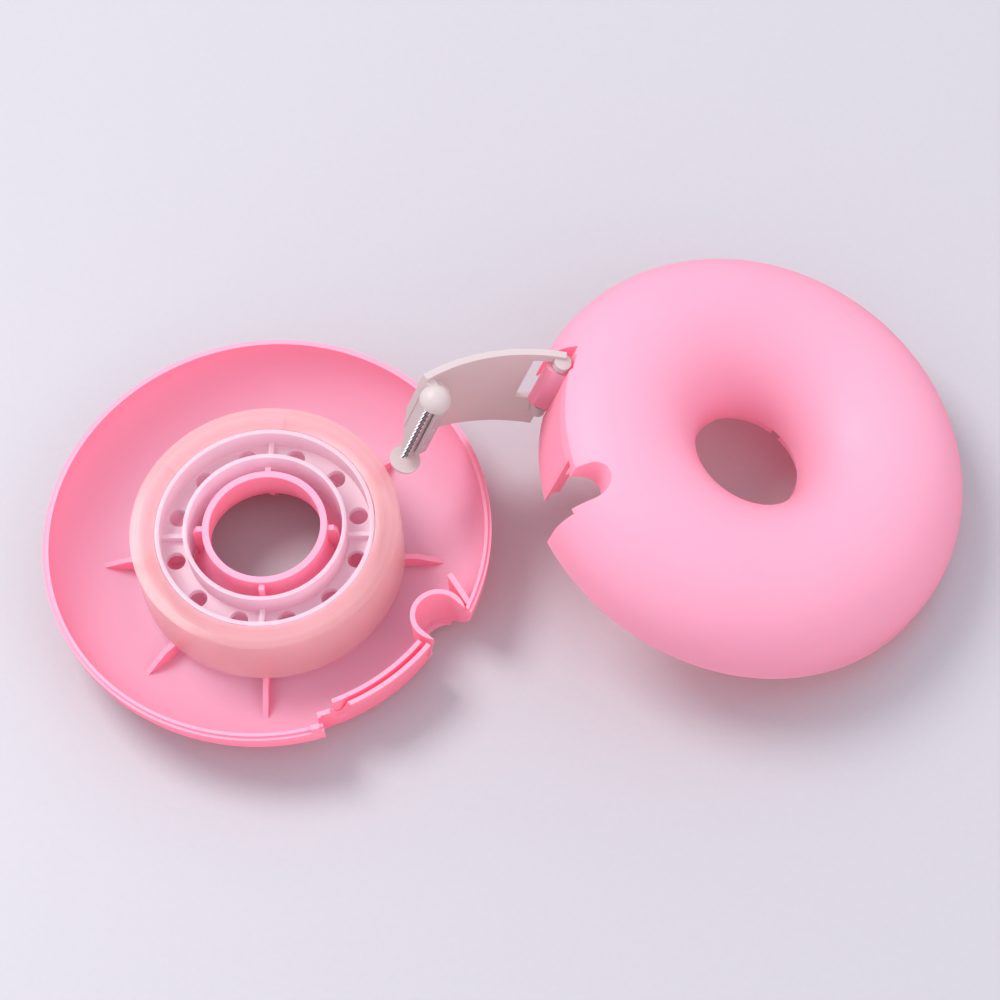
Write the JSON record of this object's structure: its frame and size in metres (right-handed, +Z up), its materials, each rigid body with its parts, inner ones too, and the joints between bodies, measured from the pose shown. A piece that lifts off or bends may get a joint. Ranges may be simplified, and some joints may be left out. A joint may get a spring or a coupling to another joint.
{
  "type": "donut tape dispenser",
  "caption": "Hand-held donut-shaped dispenser for clear tape, opened into its two shells, with the roll in one and a swing-out cutter arm on the other.",
  "frame": {"origin": "centre of the whole assembly's footprint, on the surface it lies on", "axes": "+Z up; +X from the lower shell towards the upper shell; +Y away from the side the lower shell's window is seen from"},
  "size_m": [0.164, 0.0838, 0.045],
  "materials": {
    "pink_plastic": "satin moulded plastic, pastel pink",
    "core_plastic": "milky translucent plastic",
    "clear_tape": "wound clear film, smooth",
    "white_plastic": "satin moulded plastic, white",
    "blade_steel": "bright, serrated edge",
    "pin_steel": "plain"
  },
  "bodies": {
    "lower": {"lower_shell": "pink_plastic"},
    "tape": {"tape_core": "core_plastic", "tape_roll": "clear_tape"},
    "upper": {"upper_shell": "pink_plastic", "hinge_pin": "pin_steel"},
    "arm": {"cutter_arm": "white_plastic", "blade": "blade_steel", "blade_clamp": "white_plastic"}
  },
  "joints": [
    {"name": "roll_spin", "type": "hinge", "parent": "lower", "child": "tape", "pos_m": [-0.04197, -0.0019, 0.0136], "axis": [0, 0, 1], "continuous": true},
    {"name": "upper_lift", "type": "slide", "parent": "lower", "child": "upper", "axis": [0, 0, 1], "range_m": [0, 0.06]},
    {"name": "arm_swing", "type": "hinge", "parent": "upper", "child": "arm", "pos_m": [0.00904, 0.01455, 0.02429], "axis": [0.3222, -0.0079, 0.9466], "range_deg": [-12, 75.3]}
  ]
}
